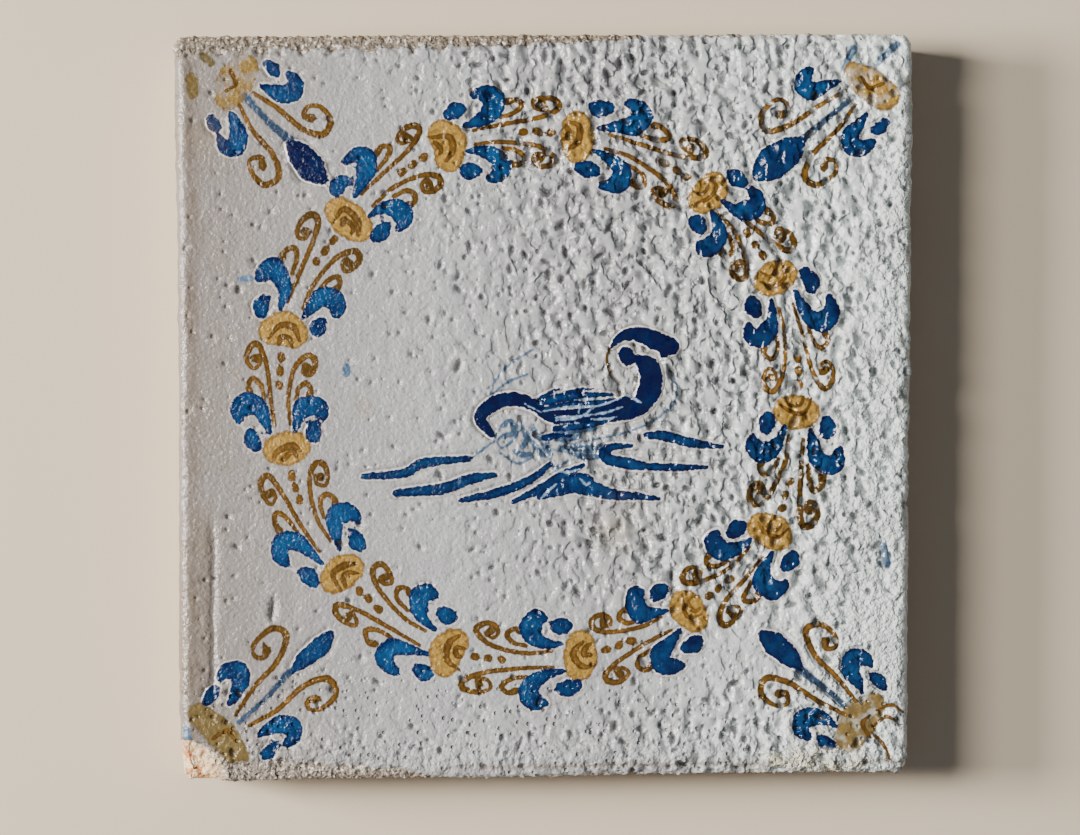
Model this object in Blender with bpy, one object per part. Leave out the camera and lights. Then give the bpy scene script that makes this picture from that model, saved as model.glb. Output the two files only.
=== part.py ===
"""A painted wall tile of tin-glazed earthenware, lying on its back with the glazed face up.

The tile is one fired piece: a hand-cut plate of clay, a little out of square, with sides that lean in towards
the back. Its glazed face rolls over the edges and is pitted, its top and bottom edges have spalled, and one
corner is broken. All lengths are in metres. The origin is the middle of the back, +Z points up through the
face, +X to the right of the painting and +Y to its top.
"""

import math

import bmesh
import bpy
from mathutils import Vector, noise

MM = 0.001

# The clay plate
TILE_SIDE = 140 * MM
TILE_THICKNESS = 16 * MM
CORNER_ROUND = 2.4 * MM
BACK_INSET = 1.3 * MM
BACK_ARRIS = 0.7 * MM

# How far each corner was cut away from the true square, by (side in X, side in Y)
CORNER_SHIFT = {
    (-1, 1): (-0.3 * MM, 0.0),
    (1, 1): (0.2 * MM, 0.9 * MM),
    (1, -1): (-0.9 * MM, 0.6 * MM),
    (-1, -1): (1.0 * MM, -1.4 * MM),
}
EDGE_WAVER = 0.22 * MM
EDGE_WAVER_LENGTH = 24 * MM

# The glaze on the face: it rolls over the arris, swells gently and is pitted, more so to the right
GLAZE_ROLL = 1.8 * MM
SWELL = 0.25 * MM
SWELL_LENGTH = 46 * MM
PIT_DEPTH = 0.5 * MM
PIT_LENGTH = 4.2 * MM
SMOOTH_UP_TO = -40 * MM
ROUGHEST_FROM = 42 * MM

# The spalled strips of bare clay along the top and bottom edges: widest at the left, gone after their length
TOP_SPALL_WIDTH = 2.6 * MM
TOP_SPALL_LENGTH = 88 * MM
BOTTOM_SPALL_WIDTH = 4.8 * MM
BOTTOM_SPALL_LENGTH = 48 * MM
SPALL_DEPTH = 0.7 * MM
SPALL_GRAIN = 2 * MM

# The broken corner, at the bottom left: its reach over the face, its depth and the height of its bowl
CHIP_REACH = 9.0 * MM
CHIP_DEPTH = 4.2 * MM
CHIP_BOWL_HEIGHT = 8.0 * MM
CHIP_ROUGHNESS = 0.5 * MM
CHIP_GRAIN = 2.2 * MM

# How finely the shape is cut up
FACE_CELL = 2.7 * MM
ROLL_STEPS = 3
SIDE_BANDS = 3

GLAZE_COLOUR = (0.52, 0.50, 0.50, 1.0)
GLAZE_ROUGHNESS = 0.22


def remove_everything():
    for leftover in list(bpy.data.objects):
        bpy.data.objects.remove(leftover)


def new_collection(name):
    collection = bpy.data.collections.new(name)
    bpy.context.scene.collection.children.link(collection)
    return collection


def glaze_material():
    material = bpy.data.materials.new("tin_glaze")
    material.use_nodes = True
    shader = material.node_tree.nodes["Principled BSDF"]
    shader.inputs["Base Color"].default_value = GLAZE_COLOUR
    shader.inputs["Roughness"].default_value = GLAZE_ROUGHNESS
    shader.inputs["Metallic"].default_value = 0.0
    return material


def ease(low, high, value):
    """0 below low, 1 above high, and a smooth step between them."""
    share = min(1.0, max(0.0, (value - low) / (high - low)))
    return share * share * (3 - 2 * share)


def grid_lines():
    """Places of the grid's lines across the true square: close together on the glaze's roll, even between."""
    half = TILE_SIDE / 2
    roll = [
        GLAZE_ROLL * (1 - math.sin(math.radians(90 * step / ROLL_STEPS)))
        for step in range(ROLL_STEPS, -1, -1)
    ]
    flat = half - GLAZE_ROLL
    cells = max(4, round(2 * flat / FACE_CELL))
    inner = [-flat + 2 * flat * n / cells for n in range(1, cells)]
    left = [depth - half for depth in roll]
    return left + inner + [-place for place in reversed(left)]


def rounded(u, v):
    """Bends a square grid's corner cells into a quarter circle, so that the plan has round corners."""
    core = TILE_SIDE / 2 - CORNER_ROUND
    past_u, past_v = abs(u) - core, abs(v) - core
    if past_u <= 0 or past_v <= 0:
        return u, v
    pull = max(past_u, past_v) / math.hypot(past_u, past_v)
    return (
        math.copysign(core + past_u * pull, u),
        math.copysign(core + past_v * pull, v),
    )


def in_plan(u, v):
    """Where a point of the true square lies on the tile as it was cut: out of square, with wavering edges."""
    x, y = rounded(u, v)
    right, top = (u / TILE_SIDE + 0.5), (v / TILE_SIDE + 0.5)
    for (side_x, side_y), (shift_x, shift_y) in CORNER_SHIFT.items():
        share = (right if side_x > 0 else 1 - right) * (top if side_y > 0 else 1 - top)
        x += share * shift_x
        y += share * shift_y
    along = Vector((u, v, 0.0)) / EDGE_WAVER_LENGTH
    x += EDGE_WAVER * noise.noise(along + Vector((3.1, 0.0, 0.0)))
    y += EDGE_WAVER * noise.noise(along + Vector((0.0, 7.7, 0.0)))
    return x, y


def roll_drop(depth):
    """How far the glaze has rolled down at a point this far in from the edge."""
    if depth >= GLAZE_ROLL:
        return 0.0
    return GLAZE_ROLL - math.sqrt(max(0.0, GLAZE_ROLL**2 - (GLAZE_ROLL - depth) ** 2))


def pitting(u, v):
    """The share of pitting at a point: little on the left, most at the right and along the bottom."""
    to_the_right = ease(SMOOTH_UP_TO, ROUGHEST_FROM, u + 0.25 * v)
    at_the_bottom = ease(0.36 * TILE_SIDE, 0.48 * TILE_SIDE, -v)
    return max(0.12, to_the_right, 0.7 * at_the_bottom)


def strip_width(from_left, width, length):
    """How wide a spalled strip still is at a distance from the tile's left side."""
    return width * math.sqrt(max(0.0, 1 - from_left / length))


def spalled(u, v):
    """The share of the spall's depth at a point: ragged strips of bare clay at the top and bottom edges."""
    half = TILE_SIDE / 2
    ragged = 1 + 0.5 * noise.noise(Vector((u, v, 0.0)) / SPALL_GRAIN)
    from_left = u + half
    top = half - v < ragged * strip_width(from_left, TOP_SPALL_WIDTH, TOP_SPALL_LENGTH)
    bottom = half + v < ragged * strip_width(from_left, BOTTOM_SPALL_WIDTH, BOTTOM_SPALL_LENGTH)
    return ragged if top or bottom else 0.0


def face_height(u, v):
    half = TILE_SIDE / 2
    depth = half - max(abs(u), abs(v))
    place = Vector((u, v, 0.0))
    swell = SWELL * noise.noise(place / SWELL_LENGTH + Vector((0.0, 0.0, 5.0)))
    pit = max(0.0, noise.noise(place / PIT_LENGTH + Vector((0.0, 0.0, 9.0))))
    relief = swell - PIT_DEPTH * pitting(u, v) * pit - SPALL_DEPTH * spalled(u, v)
    return TILE_THICKNESS - roll_drop(depth) + relief


def side_rings():
    """Height and inset of each ring below the glaze's roll, down to the flat back."""
    top, bottom = TILE_THICKNESS - GLAZE_ROLL - SPALL_DEPTH, BACK_ARRIS
    rings = []
    for band in range(1, SIDE_BANDS + 1):
        share = band / SIDE_BANDS
        rings.append((top + (bottom - top) * share, BACK_INSET * share))
    return rings + [(0.0, BACK_INSET + BACK_ARRIS)]


def plate_mesh():
    """The whole plate as one closed mesh: a grid for the face, rings for the sides and one flat back."""
    lines = grid_lines()
    cells = len(lines) - 1
    half = TILE_SIDE / 2
    plate = bmesh.new()
    bmesh.ops.create_grid(plate, x_segments=cells, y_segments=cells, size=half)
    square = {}
    for vert in plate.verts:
        column = round((vert.co.x / TILE_SIDE + 0.5) * cells)
        row = round((vert.co.y / TILE_SIDE + 0.5) * cells)
        square[vert] = (lines[column], lines[row])
    for vert, (u, v) in square.items():
        vert.co = (*in_plan(u, v), face_height(u, v))
    rim = [edge for edge in plate.edges if edge.is_boundary]
    for height, inset in side_rings():
        grown = bmesh.ops.extrude_edge_only(plate, edges=rim)["geom"]
        new_rim = [edge for edge in grown if isinstance(edge, bmesh.types.BMEdge) and edge.is_boundary]
        old_verts = {vert for edge in rim for vert in edge.verts}
        new_verts = {vert for edge in new_rim for vert in edge.verts}
        for vert in new_verts:
            partners = (edge.other_vert(vert) for edge in vert.link_edges)
            square[vert] = next(square[above] for above in partners if above in old_verts)
            x, y = in_plan(*square[vert])
            shrink = 1 - inset / half
            vert.co = (x * shrink, y * shrink, height)
        rim = new_rim
    bmesh.ops.contextual_create(plate, geom=rim)
    bmesh.ops.recalc_face_normals(plate, faces=plate.faces)
    mesh = bpy.data.meshes.new("painted_tile")
    plate.to_mesh(mesh)
    plate.free()
    return mesh


def make_tile(collection):
    tile = bpy.data.objects.new("painted_tile", plate_mesh())
    collection.objects.link(tile)
    tile.data.materials.append(glaze_material())
    tile.data.shade_smooth()
    tile.data.set_sharp_from_angle(angle=math.radians(40))
    return tile


def make_chip_cutter(collection, tile):
    """A rough ball whose lower side is the fracture. It reaches CHIP_REACH in from the corner over the face, and
    CHIP_DEPTH down the corner's edge."""
    outward = (CHIP_DEPTH * (2 * CHIP_BOWL_HEIGHT + CHIP_DEPTH) - CHIP_REACH**2) / (2 * CHIP_REACH)
    radius = math.hypot(outward + CHIP_REACH, CHIP_BOWL_HEIGHT)
    half = TILE_SIDE / 2
    corner = Vector((*in_plan(-half, -half), TILE_THICKNESS))
    away = Vector((-1.0, -1.0, 0.0)).normalized()
    centre = corner + away * outward + Vector((0.0, 0.0, CHIP_BOWL_HEIGHT))
    bpy.ops.mesh.primitive_ico_sphere_add(subdivisions=3, radius=radius, location=centre)
    cutter = bpy.context.active_object
    cutter.name = "chip_cutter"
    cutter.parent = tile
    for vert in cutter.data.vertices:
        vert.co += vert.co.normalized() * CHIP_ROUGHNESS * noise.noise(vert.co / CHIP_GRAIN)
    for home in list(cutter.users_collection):
        home.objects.unlink(cutter)
    collection.objects.link(cutter)
    cutter.hide_render = True
    cutter.display_type = "WIRE"
    return cutter


def break_corner(tile, cutter):
    broken = tile.modifiers.new("broken_corner", "BOOLEAN")
    broken.operation = "DIFFERENCE"
    broken.object = cutter


def centre_over_origin(tile):
    """Moves the tile, and its cutter with it, so that the middle of its plan is over the origin."""
    bpy.context.view_layer.update()
    shaped = tile.evaluated_get(bpy.context.evaluated_depsgraph_get())
    corners = [Vector(corner) for corner in shaped.bound_box]
    tile.location.x = -(min(c.x for c in corners) + max(c.x for c in corners)) / 2
    tile.location.y = -(min(c.y for c in corners) + max(c.y for c in corners)) / 2


def main():
    remove_everything()
    tile = make_tile(new_collection("wall_tile"))
    break_corner(tile, make_chip_cutter(new_collection("cutters"), tile))
    centre_over_origin(tile)


main()
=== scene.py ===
# %% [markdown]
# # A painted wall tile of tin-glazed earthenware
#
# The tile is a thick square of fired clay. Its face was dipped in a white glaze made opaque with tin,
# painted on the raw glaze with metal oxides, cobalt for blue and antimony with iron for ochre, and fired
# again. Glaze and paint melted into one skin, so the painting has no thickness of its own, but the heat
# left pinholes, craters and small trenches along the heavy strokes of blue.
#
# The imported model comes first. It gives the size and the place of everything made here.

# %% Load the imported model
import math
import random

import bpy
import numpy as np
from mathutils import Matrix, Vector, geometry, kdtree, noise


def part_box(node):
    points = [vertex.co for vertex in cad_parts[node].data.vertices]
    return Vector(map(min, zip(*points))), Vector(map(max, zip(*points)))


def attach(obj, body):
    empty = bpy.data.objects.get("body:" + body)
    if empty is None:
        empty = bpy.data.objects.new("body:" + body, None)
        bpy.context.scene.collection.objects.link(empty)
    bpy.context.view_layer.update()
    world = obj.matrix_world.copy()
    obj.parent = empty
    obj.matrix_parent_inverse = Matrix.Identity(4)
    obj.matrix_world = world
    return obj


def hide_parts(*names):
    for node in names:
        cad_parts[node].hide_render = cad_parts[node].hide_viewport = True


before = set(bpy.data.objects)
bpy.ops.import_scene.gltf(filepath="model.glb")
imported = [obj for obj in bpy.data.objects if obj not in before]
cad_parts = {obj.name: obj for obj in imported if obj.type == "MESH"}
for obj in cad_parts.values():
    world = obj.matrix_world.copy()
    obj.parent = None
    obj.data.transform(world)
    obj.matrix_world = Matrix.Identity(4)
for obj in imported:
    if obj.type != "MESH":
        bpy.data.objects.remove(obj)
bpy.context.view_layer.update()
MM = 0.001
low, high = (np.array(corner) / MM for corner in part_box("painted_tile"))
print("the tile's box in millimetres:", low.round(2), high.round(2))

# %% [markdown]
# ## The camera and the light
#
# The tile lies on its back and is looked at from straight above. Daylight comes from the left, by two soft
# lamps that stand for a window: a higher one, and a stronger low one that fills each pit with shade on its
# left wall and lights its right wall. A weak lamp overhead and a pale room lift the shadows. The floor is
# plain and pale.

# %% Camera over the tile
PHOTO_WIDTH, PHOTO_HEIGHT = 1080, 835
TILE_MIDDLE = (542.5, 408.5)
PIXEL = 0.1906 * MM
CAMERA_HEIGHT = 900 * MM
wide = PHOTO_WIDTH * PIXEL
aside = (TILE_MIDDLE[0] - PHOTO_WIDTH / 2) * PIXEL
above = (PHOTO_HEIGHT / 2 - TILE_MIDDLE[1]) * PIXEL

camera_data = bpy.data.cameras.new("overhead")
camera_data.sensor_fit = "HORIZONTAL"
camera_data.angle = 2 * math.atan(wide / 2 / (CAMERA_HEIGHT - high[2] * MM))
camera = bpy.data.objects.new("overhead", camera_data)
camera.location = (-aside, -above, CAMERA_HEIGHT)
bpy.context.scene.collection.objects.link(camera)
bpy.context.scene.camera = camera
print("camera angle in degrees:", round(math.degrees(camera_data.angle), 1))


# %% Colours are written as sRGB hex values
def colour(hex_code):
    """A linear colour with alpha from an sRGB hex code such as "#BBBBBB"."""
    shares = [int(hex_code[n:n + 2], 16) / 255 for n in (1, 3, 5)]
    linear = [s / 12.92 if s <= 0.04045 else ((s + 0.055) / 1.055) ** 2.4 for s in shares]
    return (*linear, 1.0)


# %% Floor and light
def pale_floor():
    """A matt floor just below the tile, for the picture only."""
    bpy.ops.mesh.primitive_plane_add(size=4.0, location=(0.0, 0.0, low[2] * MM - 0.0002))
    floor = bpy.context.active_object
    floor.name = "floor"
    material = bpy.data.materials.new("matt_paper_floor")
    material.use_nodes = True
    shader = material.node_tree.nodes["Principled BSDF"]
    shader.inputs["Base Color"].default_value = colour("#D6C9B4")
    shader.inputs["Roughness"].default_value = 0.9
    floor.data.materials.append(material)


def soft_light(name, place, size, watts, tint):
    """A rectangular lamp that points at the tile."""
    lamp_data = bpy.data.lights.new(name, "AREA")
    lamp_data.shape = "RECTANGLE"
    lamp_data.size, lamp_data.size_y = size
    lamp_data.energy = watts
    lamp_data.color = colour(tint)[:3]
    lamp = bpy.data.objects.new(name, lamp_data)
    lamp.location = place
    lamp.rotation_euler = (-Vector(place)).to_track_quat("-Z", "Y").to_euler()
    bpy.context.scene.collection.objects.link(lamp)


pale_floor()
WARM, COOL = "#FFF9F0", "#F0F4FF"
soft_light("window", (-0.86, 0.15, 1.0), (0.3, 0.42), 17.0, WARM)
soft_light("low window", (-1.22, 0.12, 0.6), (0.4, 0.3), 36.0, WARM)
soft_light("ceiling", (0.5, -0.2, 1.5), (1.6, 1.6), 1.5, COOL)
world = bpy.data.worlds.new("pale_room")
world.use_nodes = True
world.node_tree.nodes["Background"].inputs["Color"].default_value = colour("#DDE2E8")
world.node_tree.nodes["Background"].inputs["Strength"].default_value = 0.13
bpy.context.scene.world = world

# %% [markdown]
# ## The brush
#
# A painter's stroke is a path that is wider where the brush was pressed. Here it is a row of round dabs, so
# close that they run together: each has a place and a radius. How far a point lies outside the nearest dab
# then says whether it is painted, and how near the stroke's edge it is. A stroke also says which paint it
# is, and its load: how much paint the brush held, from 0 for little to 1 for much, at one value or at
# several along the stroke.

# %% Strokes are rows of dabs
strokes = []
DAB_STEP = 0.2


def smooth_path(points, widths):
    """Points and widths at every DAB_STEP along a smooth curve through the points."""
    points = np.array(points, float)
    widths = np.interp(np.linspace(0, 1, len(points)), np.linspace(0, 1, len(widths)), widths)
    ends = np.vstack([2 * points[0] - points[1], points, 2 * points[-1] - points[-2]])
    path, pressed = [], []
    for n in range(len(points) - 1):
        a, b, c, d = ends[n:n + 4]
        steps = max(2, math.ceil(np.linalg.norm(c - b) / DAB_STEP))
        t = (np.arange(steps) / steps)[:, None]
        bend, twist = 2 * a - 5 * b + 4 * c - d, 3 * b - a - 3 * c + d
        path.append(0.5 * (2 * b + (c - a) * t + bend * t**2 + twist * t**3))
        pressed.append(widths[n] + (widths[n + 1] - widths[n]) * t[:, 0])
    return np.vstack([*path, points[-1:]]), np.append(np.concatenate(pressed), widths[-1])


def brush(paint, points, widths, load=0.0):
    """Paints a stroke through the points, in millimetres from the middle of the tile."""
    path, pressed = smooth_path(points, widths)
    held = smooth_path(points, np.atleast_1d(load))[1]
    strokes.append({"paint": paint, "path": path, "radius": pressed / 2, "load": held})


# %% [markdown]
# ## The wreath
#
# Thirteen flowers stand in a ring. From each, going clockwise, grow two blue leaves with a bud in the mouth
# of each, two short hooks and two long tendrils that curl up just before the next flower, with a row of
# dots between them. So the wreath is one unit painted thirteen times. A unit is drawn on a straight line:
# forward along the ring, and outward from it. It is then bent round the ring. The painter worked by eye, so
# the flowers' places differ, and a seeded shake moves every point a little.

# %% One unit of the wreath, as (forward, outward) in millimetres
WREATH_CENTRE = np.array([-1.1, 0.7])
# Each flower's bearing in degrees, its distance from the wreath's centre, and the load of its ochre
FLOWERS = [
    (109, 52.4, 0.3), (81.6, 52.0, 0.4), (51.2, 52.0, 0.5), (28, 51.5, 0.0), (-1.1, 49.6, 0.9),
    (-28.5, 51.0, 0.4), (-53.6, 48.6, 0.25), (-80, 48.4, 0.3), (-109.5, 49.6, 0.3), (-139.3, 48.8, 0.35),
    (-169.8, 48.4, 0.3), (-196.2, 49.7, 0.6), (-224.7, 50.1, 0.45),
]
UNIT_LENGTH = 23.0
LEAF = [(3.4, 2.4), (6.2, 3.1), (8.4, 4.5), (9.0, 6.5), (8.0, 8.0), (6.3, 8.1)]
LEAF_WIDTHS = [0.9, 2.4, 3.8, 4.1, 3.2, 1.7]
LEAF_BUD = [(1.7, 5.7), (2.8, 5.9), (4.0, 6.0)]
LEAF_BUD_WIDTHS = [2.4, 3.4, 2.4]
TENDRIL = [
    (5.0, 1.5), (10.0, 1.6), (16.2, 2.8), (19.3, 4.6), (19.1, 6.2), (16.9, 6.6), (15.2, 5.6), (15.8, 4.3),
    (17.2, 4.5), (16.8, 5.3),
]
TENDRIL_WIDTHS = [0.8, 1.0, 1.1, 1.4, 1.5, 1.1, 0.9, 0.9, 1.2, 1.8]
HOOK = [(9.6, 3.0), (12.2, 3.6), (13.4, 5.0), (12.3, 6.2), (11.0, 5.9)]
HOOK_WIDTHS = [0.9, 1.1, 1.3, 1.1, 1.7]
LEAF_LOADS = np.array([0.25, 0.05, 0.0, 0.1, 0.25, 0.3])
TENDRIL_LOADS = np.array([-0.1, -0.1, 0.0, 0.3, 0.4, 0.2, 0.0, 0.1, 0.4, 0.6])
CURL_WIDTHS = [0.6, 1.3, 1.5, 0.7]
HEART_WIDTHS = [0.9, 1.3, 1.1, 0.6]
CURL_LOADS = np.array([0.0, 0.3, 0.5, 0.1])
HEART_LOADS = np.array([0.2, 0.6, 0.4, 0.1])
HOOK_LOADS = np.array([-0.1, 0.0, 0.2, 0.2, 0.5])
AT_RIGHT, FAINTER_AT_RIGHT, HEAVIER_AT_RIGHT = 60, 0.35, 0.3
LEAF_NUDGES = {(2, 1): -1.9}
DOTS_BEFORE_NEXT = [10.3, 7.6, 5.2]
FLOWER = [(0.0, 2.1), (0.3, 0.0), (0.0, -2.1)]
FLOWER_WIDTHS = [5.6, 6.8, 5.6]
FLOWER_CURL = [(-1.9, 2.6), (0.4, 1.8), (0.8, -0.8), (-1.0, -2.9)]
FLOWER_HEART = [(-2.2, 1.0), (-0.9, 0.4), (-0.9, -1.0), (-2.2, -1.6)]


def shaken(points, amount, hand):
    """The points, each moved a little, as by an unsteady hand."""
    return [tuple(value + hand.uniform(-amount, amount) for value in point) for point in points]


def mirrored(points):
    """The points on the other side of the line that the unit is drawn on."""
    return [(forward, -outward) for forward, outward in points]


def ring_unit(index, hand):
    """Paints one flower with its leaves and tendrils, bent round the ring to the next flower."""
    bearing, radius, ochre_load = FLOWERS[index]
    next_bearing, next_radius, _ = FLOWERS[(index + 1) % len(FLOWERS)]
    turn = (bearing - next_bearing) % 360
    chord = math.radians(turn) * (radius + next_radius) / 2

    def on_ring(points, shake=0.22):
        placed = []
        for forward, outward in shaken(points, shake, hand):
            share = forward / UNIT_LENGTH
            angle = math.radians(bearing - turn * share)
            reach = radius + (next_radius - radius) * share + outward
            placed.append(WREATH_CENTRE + reach * np.array([math.cos(angle), math.sin(angle)]))
        return placed

    at_right = abs(bearing) < AT_RIGHT
    faint = FAINTER_AT_RIGHT * at_right
    brush("wash", on_ring(FLOWER, 0.6), FLOWER_WIDTHS)
    flower_lines = (FLOWER_CURL, CURL_WIDTHS, CURL_LOADS), (FLOWER_HEART, HEART_WIDTHS, HEART_LOADS)
    for line, widths, held in flower_lines:
        brush("ochre", on_ring(line, 0.5), [(1 - faint) * w for w in widths], held - faint)
    for side in (1, -1):
        flip = (lambda points: points) if side > 0 else mirrored
        load = hand.uniform(0.0, 0.3) + HEAVIER_AT_RIGHT * at_right
        leaf = [(forward, outward + LEAF_NUDGES.get((index, side), 0.0)) for forward, outward in LEAF]
        path = on_ring(flip(leaf), 0.3)
        brush("cobalt", path, [w * hand.uniform(0.88, 1.12) for w in LEAF_WIDTHS], load + LEAF_LOADS)
        brush("cobalt", on_ring(flip(LEAF_BUD), 0.3), LEAF_BUD_WIDTHS, load + 0.25)
        pressed = 0.85 + 0.25 * ochre_load
        for line, widths, held in ((TENDRIL, TENDRIL_WIDTHS, TENDRIL_LOADS), (HOOK, HOOK_WIDTHS, HOOK_LOADS)):
            brush("ochre", on_ring(flip(line)), [pressed * w for w in widths], ochre_load + held)
    for before in DOTS_BEFORE_NEXT:
        dot = (UNIT_LENGTH * (1 - before / chord), 0.0)
        brush("ochre", on_ring([dot, (dot[0] + 0.5, 0.0)]), [1.6, 1.5], ochre_load)


painter = random.Random(13)
for index in range(len(FLOWERS)):
    ring_unit(index, painter)
print("strokes in the wreath:", len(strokes))

# %% [markdown]
# ## The corner sprigs
#
# Each corner has the same sprig: a flower in the corner, a pair of leaves with buds, a pair of curled
# tendrils, and a pale blue stem that ends in a dark bud towards the middle. It is drawn once, as (along,
# across) from the flower towards the bud's tip, then turned and stretched to fit between the two. The
# sprigs are listed from the top left to the bottom right. Some smears of paint were left near them and
# beside the wreath.

# %% One sprig, painted in four corners
SPRIG_LENGTH = 25.0
SPRIGS = [
    {"flower": (-59.2, 61.7), "tip": (-41.6, 43.4), "greened": 0.6, "plump": 1.0, "load": 1.0, "stem": 1.45,
     "wash": [(-60.0, 59.6), (-58.8, 62.2), (-57.0, 64.6)], "wash widths": [5.4, 7.2, 5.6]},
    {"flower": (62.0, 61.7), "tip": (41.0, 44.2), "greened": 0.1, "plump": 1.25, "load": 0.6, "stem": 1.4,
     "wash": [(59.0, 64.4), (62.2, 62.4), (65.4, 59.6)], "wash widths": [3.6, 6.4, 6.0], "budless": -1},
    {"flower": (-59.9, -62.2), "tip": (-39.9, -42.6), "greened": 1.0, "plump": 0.72, "load": 0.5, "stem": 1.1,
     "wash": [(-65.4, -58.2), (-61.6, -62.2), (-58.2, -66.4)], "wash widths": [4.4, 6.0, 4.8]},
    {"flower": (61.5, -59.8), "tip": (41.5, -42.6), "greened": 0.85, "plump": 0.85, "load": 0.75,
     "stem": 1.45,
     "wash": [(62.8, -56.6), (60.2, -59.2), (58.8, -62.8)], "wash widths": [5.0, 7.6, 6.0]},
]
SPRIG_LEAF = [(3.6, 4.0), (5.6, 4.7), (7.9, 5.6), (8.8, 7.4), (7.6, 9.0), (5.8, 9.0)]
SPRIG_BUD = [(1.8, 7.5), (3.0, 7.7), (4.1, 7.6)]
SPRIG_TENDRIL = [
    (3.6, 1.6), (9.0, 3.0), (14.8, 3.6), (18.6, 5.8), (17.8, 8.6), (14.4, 9.0), (12.8, 7.4), (13.8, 5.9),
    (15.0, 6.6),
]
SPRIG_STEM = [(3.0, 0.3), (9.0, 0.0), (15.0, 0.3)]
SPRIG_TIP = [(15.4, 0.1), (18.2, 0.0), (21.5, -0.1), (24.4, 0.0)]
SPRIG_TIP_WIDTHS = [1.6, 4.6, 5.4, 2.4]


def corner_sprig(sprig, hand):
    """Paints one sprig from its flower to its bud's tip."""
    flower, tip = np.array(sprig["flower"]), np.array(sprig["tip"])
    along = (tip - flower) / SPRIG_LENGTH
    across = np.array([-along[1], along[0]]) / np.linalg.norm(along)

    def placed(points, shake=0.25):
        return [flower + along * a + across * b for a, b in shaken(points, shake, hand)]

    brush("wash", shaken(sprig["wash"], 0.3, hand), sprig["wash widths"], load=sprig["greened"])
    brush("ochre", placed([(-2.2, 1.6), (0.2, 0.6), (0.0, -1.8)]), [0.8, 1.0, 0.6], load=0.2)
    brush("pale", placed(SPRIG_STEM), [sprig["stem"] * w for w in (0.9, 0.9, 1.3)], load=[0.8, 1.0, 1.0])
    brush("cobalt", placed(SPRIG_TIP, 0.15), [sprig["plump"] * w for w in SPRIG_TIP_WIDTHS], sprig["load"])
    for side in (1, -1):
        flip = (lambda points: points) if side > 0 else mirrored
        load = hand.uniform(0.1, 0.4)
        brush("cobalt", placed(flip(SPRIG_LEAF)), [0.95 * width for width in LEAF_WIDTHS], load + LEAF_LOADS)
        if side != sprig.get("budless"):
            brush("cobalt", placed(flip(SPRIG_BUD)), [1.9, 2.6, 1.9], load + 0.3)
        brush("ochre", placed(flip(SPRIG_TENDRIL)), TENDRIL_WIDTHS, hand.uniform(0.0, 0.5) + TENDRIL_LOADS)


for sprig in SPRIGS:
    corner_sprig(sprig, painter)
# Paint, points, widths and load of each smear
SMEARS = [
    ("wash", [(-66.9, 62.8), (-66.6, 60.0)], [2.4, 2.2], 1.0),
    ("wash", [(-64.8, 67.4), (-63.2, 65.8)], [1.8, 1.6], 1.6),
    ("pale", [(57.6, 65.0), (59.4, 68.6)], [1.2, 1.6], 0.1),
    ("pale", [(-37.3, 7.8), (-37.2, 6.8)], [1.5, 1.8], 0.4),
    ("pale", [(65.0, -26.0), (65.6, -29.6)], [1.4, 1.8], 0.2),
    ("ochre", [(63.0, -60.6), (65.6, -58.8), (68.4, -60.2)], [0.5, 0.8, 0.5], 0.1),
    ("ochre", [(62.6, -61.6), (65.0, -64.0), (66.2, -66.8)], [0.5, 0.8, 0.5], 0.1),
    ("ochre", [(63.6, -57.6), (66.6, -56.6), (68.8, -58.0)], [0.5, 0.8, 0.5], 0.1),
    ("pale", [(64.0, 66.0), (67.6, 69.6)], [1.2, 1.6], 0.3),
    ("pale", [(-58.0, 24.6), (-55.6, 24.8)], [0.8, 1.4], 0.1),
    ("pale", [(-67.9, -60.8), (-67.6, -62.8)], [1.2, 1.6], 0.0),
]
for smear in SMEARS:
    brush(*smear)
print("strokes with the sprigs:", len(strokes))

# %% [markdown]
# ## The bird on the water
#
# In the ring a long-necked bird swims to the right. It is a few strokes of strong blue for its back, neck
# and head, lighter blue for its feathers, and thin pale lines for its wing, breast and belly, with broad
# level strokes below for the water. These are free drawing, so each stroke is a short list of its own
# points. Thin scratches of bare white run through the feathers and the water.

# %% Bird and water
BIRD_DARK = {
    "tail": ([(-9.8, -4.9), (-11.8, -1.9), (-9.4, 0.7), (-5.5, 1.7), (-1.7, 0.6), (1.0, -1.5),
              (3.8, -2.7)], [1.6, 2.6, 2.9, 2.7, 2.4, 2.0, 1.4]),
    "back": ([(0.7, -0.8), (6.2, -0.8), (11.6, -0.1), (15.9, 1.3)], [1.0, 1.5, 1.8, 2.2]),
    "side": ([(2.2, -2.6), (6.9, -2.2), (11.6, -1.8), (15.9, -0.9), (18.8, 0.8),
              (20.4, 3.4)], [1.0, 1.8, 2.0, 2.8, 3.8, 4.6]),
    "neck": ([(20.3, 2.9), (20.8, 5.8), (20.3, 7.8), (18.8, 9.3)], [4.4, 4.6, 4.2, 2.2]),
    "head": ([(13.3, 11.9), (14.9, 13.6), (17.9, 14.3), (21.2, 13.2), (24.5, 11.9)],
             [0.8, 1.9, 2.8, 3.6, 3.4]),
    "head end": ([(24.9, 12.6), (23.2, 10.5)], [2.0, 1.8]),
    "eye": ([(15.9, 10.4), (16.3, 9.6)], [3.0, 3.0]),
}
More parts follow.
